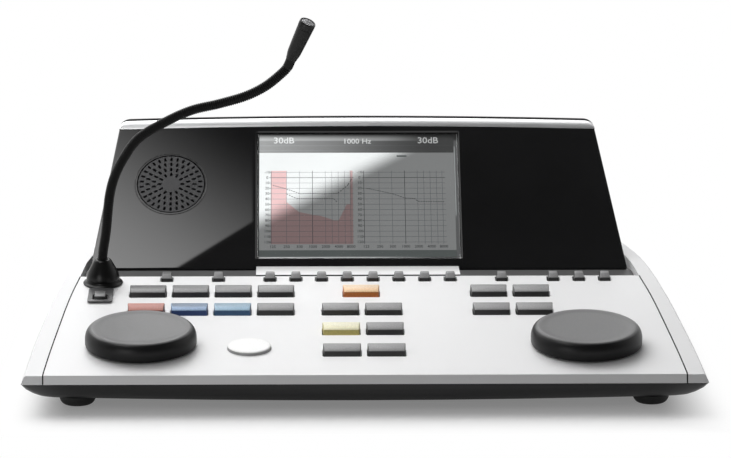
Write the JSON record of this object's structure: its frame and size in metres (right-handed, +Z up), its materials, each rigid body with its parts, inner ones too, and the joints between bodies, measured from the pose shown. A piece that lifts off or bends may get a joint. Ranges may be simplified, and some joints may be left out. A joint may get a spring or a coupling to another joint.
{
  "type": "audiometer",
  "caption": "Desktop audiometer: wedge console with rows of keys and two flat dials, a tilting black display lid with a round speaker grille, and a gooseneck microphone.",
  "frame": {"origin": "on the table under the middle of the body, between front and rear edges", "axes": "+Z up, +X to the operator's right, +Y away from the operator, towards the lid"},
  "size_m": [0.365, 0.295, 0.1985],
  "materials": {
    "shell_silver": "satin, very pale silver paint",
    "deck_silver": "glossy silver paint",
    "trim_silver": "smooth satin silver",
    "hull_black": "fine moulded texture, satin",
    "lid_gloss_black": "high gloss",
    "dial_black": "satin",
    "key_charcoal": "satin",
    "key_red": "satin",
    "key_blue": "satin",
    "key_light_blue": "satin",
    "key_orange": "satin",
    "key_yellow": "satin",
    "button_white": "soft gloss",
    "plate_grey": "satin",
    "hinge_steel": "brushed",
    "rubber_black": "matt",
    "neck_black": "satin black over a wound steel tube",
    "mic_black": "satin",
    "window_glass": "clear, glossy",
    "lcd_face": "lit colour display with two plain audiogram grids",
    "grille_black": "satin",
    "driver_black": "paper cone and steel basket",
    "board_green": "solder resist"
  },
  "bodies": {
    "base": {"bottom_shell": "hull_black", "left_cheek": "shell_silver", "right_cheek": "shell_silver", "console_panel": "shell_silver", "rear_deck": "deck_silver", "main_board": "board_green", "talk_key_plate": "plate_grey", "hinge_left": "hinge_steel", "hinge_right": "hinge_steel", "foot_front_left": "rubber_black", "foot_front_right": "rubber_black", "foot_rear_left": "rubber_black", "foot_rear_right": "rubber_black"},
    "lid": {"lid_front": "lid_gloss_black", "lid_back_cover": "hull_black", "lid_top_trim": "trim_silver", "display_window": "window_glass", "lcd_module": "lcd_face", "speaker_grille": "grille_black", "speaker_driver": "driver_black"},
    "microphone": {"mic_boot": "rubber_black", "gooseneck": "neck_black", "mic_head": "mic_black"},
    "left_dial": {"left_dial": "dial_black"},
    "right_dial": {"right_dial": "dial_black"},
    "key_left_upper_1": {"key_left_upper_1": "key_charcoal"},
    "key_left_upper_2": {"key_left_upper_2": "key_charcoal"},
    "key_left_upper_3": {"key_left_upper_3": "key_charcoal"},
    "key_left_upper_4": {"key_left_upper_4": "key_charcoal"},
    "key_left_lower_1": {"key_left_lower_1": "key_red"},
    "key_left_lower_2": {"key_left_lower_2": "key_blue"},
    "key_left_lower_3": {"key_left_lower_3": "key_light_blue"},
    "key_left_lower_4": {"key_left_lower_4": "key_charcoal"},
    "key_orange": {"key_orange": "key_orange"},
    "key_middle_upper_1": {"key_middle_upper_1": "key_charcoal"},
    "key_middle_upper_2": {"key_middle_upper_2": "key_charcoal"},
    "key_middle_centre_1": {"key_middle_centre_1": "key_yellow"},
    "key_middle_centre_2": {"key_middle_centre_2": "key_charcoal"},
    "key_middle_lower_1": {"key_middle_lower_1": "key_charcoal"},
    "key_middle_lower_2": {"key_middle_lower_2": "key_charcoal"},
    "key_right_upper_1": {"key_right_upper_1": "key_charcoal"},
    "key_right_upper_2": {"key_right_upper_2": "key_charcoal"},
    "key_right_lower_1": {"key_right_lower_1": "key_charcoal"},
    "key_right_lower_2": {"key_right_lower_2": "key_charcoal"},
    "small_key_left_1": {"small_key_left_1": "key_charcoal"},
    "small_key_left_2": {"small_key_left_2": "key_charcoal"},
    "function_key_1": {"function_key_1": "key_charcoal"},
    "function_key_2": {"function_key_2": "key_charcoal"},
    "function_key_3": {"function_key_3": "key_charcoal"},
    "function_key_4": {"function_key_4": "key_charcoal"},
    "function_key_5": {"function_key_5": "key_charcoal"},
    "function_key_6": {"function_key_6": "key_charcoal"},
    "function_key_7": {"function_key_7": "key_charcoal"},
    "function_key_8": {"function_key_8": "key_charcoal"},
    "small_key_right_1": {"small_key_right_1": "key_charcoal"},
    "small_key_right_2": {"small_key_right_2": "key_charcoal"},
    "small_key_right_3": {"small_key_right_3": "key_charcoal"},
    "small_key_right_4": {"small_key_right_4": "key_charcoal"},
    "talk_key": {"talk_key": "key_charcoal"},
    "round_button": {"round_button": "button_white"}
  },
  "joints": [
    {"name": "lid_tilt", "type": "hinge", "parent": "base", "child": "lid", "pos_m": [0, 0.04805, 0.03875], "axis": [1, 0, 0], "range_deg": [-39.45, 12]},
    {"name": "microphone_swivel", "type": "hinge", "parent": "base", "child": "microphone", "pos_m": [-0.1463, -0.00097, 0.04126], "axis": [0, -0.1392, 0.9903], "range_deg": [-90, 15]},
    {"name": "left_dial_turn", "type": "hinge", "parent": "base", "child": "left_dial", "pos_m": [-0.1207, -0.10125, 0.02686], "axis": [0, -0.1392, 0.9903], "continuous": true},
    {"name": "right_dial_turn", "type": "hinge", "parent": "base", "child": "right_dial", "pos_m": [0.1207, -0.10125, 0.02686], "axis": [0, -0.1392, 0.9903], "continuous": true},
    {"name": "key_left_upper_1_press", "type": "slide", "parent": "base", "child": "key_left_upper_1", "axis": [0, -0.1392, 0.9903], "range_m": [-0.0012, 0], "stiffness_N_per_m": 300},
    {"name": "key_left_upper_2_press", "type": "slide", "parent": "base", "child": "key_left_upper_2", "axis": [0, -0.1392, 0.9903], "range_m": [-0.0012, 0], "stiffness_N_per_m": 300},
    {"name": "key_left_upper_3_press", "type": "slide", "parent": "base", "child": "key_left_upper_3", "axis": [0, -0.1392, 0.9903], "range_m": [-0.0012, 0], "stiffness_N_per_m": 300},
    {"name": "key_left_upper_4_press", "type": "slide", "parent": "base", "child": "key_left_upper_4", "axis": [0, -0.1392, 0.9903], "range_m": [-0.0012, 0], "stiffness_N_per_m": 300},
    {"name": "key_left_lower_1_press", "type": "slide", "parent": "base", "child": "key_left_lower_1", "axis": [0, -0.1392, 0.9903], "range_m": [-0.0012, 0], "stiffness_N_per_m": 300},
    {"name": "key_left_lower_2_press", "type": "slide", "parent": "base", "child": "key_left_lower_2", "axis": [0, -0.1392, 0.9903], "range_m": [-0.0012, 0], "stiffness_N_per_m": 300},
    {"name": "key_left_lower_3_press", "type": "slide", "parent": "base", "child": "key_left_lower_3", "axis": [0, -0.1392, 0.9903], "range_m": [-0.0012, 0], "stiffness_N_per_m": 300},
    {"name": "key_left_lower_4_press", "type": "slide", "parent": "base", "child": "key_left_lower_4", "axis": [0, -0.1392, 0.9903], "range_m": [-0.0012, 0], "stiffness_N_per_m": 300},
    {"name": "key_orange_press", "type": "slide", "parent": "base", "child": "key_orange", "axis": [0, -0.1392, 0.9903], "range_m": [-0.0012, 0], "stiffness_N_per_m": 300},
    {"name": "key_middle_upper_1_press", "type": "slide", "parent": "base", "child": "key_middle_upper_1", "axis": [0, -0.1392, 0.9903], "range_m": [-0.0012, 0], "stiffness_N_per_m": 300},
    {"name": "key_middle_upper_2_press", "type": "slide", "parent": "base", "child": "key_middle_upper_2", "axis": [0, -0.1392, 0.9903], "range_m": [-0.0012, 0], "stiffness_N_per_m": 300},
    {"name": "key_middle_centre_1_press", "type": "slide", "parent": "base", "child": "key_middle_centre_1", "axis": [0, -0.1392, 0.9903], "range_m": [-0.0012, 0], "stiffness_N_per_m": 300},
    {"name": "key_middle_centre_2_press", "type": "slide", "parent": "base", "child": "key_middle_centre_2", "axis": [0, -0.1392, 0.9903], "range_m": [-0.0012, 0], "stiffness_N_per_m": 300},
    {"name": "key_middle_lower_1_press", "type": "slide", "parent": "base", "child": "key_middle_lower_1", "axis": [0, -0.1392, 0.9903], "range_m": [-0.0012, 0], "stiffness_N_per_m": 300},
    {"name": "key_middle_lower_2_press", "type": "slide", "parent": "base", "child": "key_middle_lower_2", "axis": [0, -0.1392, 0.9903], "range_m": [-0.0012, 0], "stiffness_N_per_m": 300},
    {"name": "key_right_upper_1_press", "type": "slide", "parent": "base", "child": "key_right_upper_1", "axis": [0, -0.1392, 0.9903], "range_m": [-0.0012, 0], "stiffness_N_per_m": 300},
    {"name": "key_right_upper_2_press", "type": "slide", "parent": "base", "child": "key_right_upper_2", "axis": [0, -0.1392, 0.9903], "range_m": [-0.0012, 0], "stiffness_N_per_m": 300},
    {"name": "key_right_lower_1_press", "type": "slide", "parent": "base", "child": "key_right_lower_1", "axis": [0, -0.1392, 0.9903], "range_m": [-0.0012, 0], "stiffness_N_per_m": 300},
    {"name": "key_right_lower_2_press", "type": "slide", "parent": "base", "child": "key_right_lower_2", "axis": [0, -0.1392, 0.9903], "range_m": [-0.0012, 0], "stiffness_N_per_m": 300},
    {"name": "small_key_left_1_press", "type": "slide", "parent": "base", "child": "small_key_left_1", "axis": [0, -0.1392, 0.9903], "range_m": [-0.0012, 0], "stiffness_N_per_m": 200},
    {"name": "small_key_left_2_press", "type": "slide", "parent": "base", "child": "small_key_left_2", "axis": [0, -0.1392, 0.9903], "range_m": [-0.0012, 0], "stiffness_N_per_m": 200},
    {"name": "function_key_1_press", "type": "slide", "parent": "base", "child": "function_key_1", "axis": [0, -0.1392, 0.9903], "range_m": [-0.0012, 0], "stiffness_N_per_m": 200},
    {"name": "function_key_2_press", "type": "slide", "parent": "base", "child": "function_key_2", "axis": [0, -0.1392, 0.9903], "range_m": [-0.0012, 0], "stiffness_N_per_m": 200},
    {"name": "function_key_3_press", "type": "slide", "parent": "base", "child": "function_key_3", "axis": [0, -0.1392, 0.9903], "range_m": [-0.0012, 0], "stiffness_N_per_m": 200},
    {"name": "function_key_4_press", "type": "slide", "parent": "base", "child": "function_key_4", "axis": [0, -0.1392, 0.9903], "range_m": [-0.0012, 0], "stiffness_N_per_m": 200},
    {"name": "function_key_5_press", "type": "slide", "parent": "base", "child": "function_key_5", "axis": [0, -0.1392, 0.9903], "range_m": [-0.0012, 0], "stiffness_N_per_m": 200},
    {"name": "function_key_6_press", "type": "slide", "parent": "base", "child": "function_key_6", "axis": [0, -0.1392, 0.9903], "range_m": [-0.0012, 0], "stiffness_N_per_m": 200},
    {"name": "function_key_7_press", "type": "slide", "parent": "base", "child": "function_key_7", "axis": [0, -0.1392, 0.9903], "range_m": [-0.0012, 0], "stiffness_N_per_m": 200},
    {"name": "function_key_8_press", "type": "slide", "parent": "base", "child": "function_key_8", "axis": [0, -0.1392, 0.9903], "range_m": [-0.0012, 0], "stiffness_N_per_m": 200},
    {"name": "small_key_right_1_press", "type": "slide", "parent": "base", "child": "small_key_right_1", "axis": [0, -0.1392, 0.9903], "range_m": [-0.0012, 0], "stiffness_N_per_m": 200},
    {"name": "small_key_right_2_press", "type": "slide", "parent": "base", "child": "small_key_right_2", "axis": [0, -0.1392, 0.9903], "range_m": [-0.0012, 0], "stiffness_N_per_m": 200},
    {"name": "small_key_right_3_press", "type": "slide", "parent": "base", "child": "small_key_right_3", "axis": [0, -0.1392, 0.9903], "range_m": [-0.0012, 0], "stiffness_N_per_m": 200},
    {"name": "small_key_right_4_press", "type": "slide", "parent": "base", "child": "small_key_right_4", "axis": [0, -0.1392, 0.9903], "range_m": [-0.0012, 0], "stiffness_N_per_m": 200},
    {"name": "talk_key_press", "type": "slide", "parent": "base", "child": "talk_key", "axis": [0, -0.1392, 0.9903], "range_m": [-0.0012, 0], "stiffness_N_per_m": 200},
    {"name": "round_button_press", "type": "slide", "parent": "base", "child": "round_button", "axis": [0, -0.1392, 0.9903], "range_m": [-0.0012, 0], "stiffness_N_per_m": 300}
  ]
}
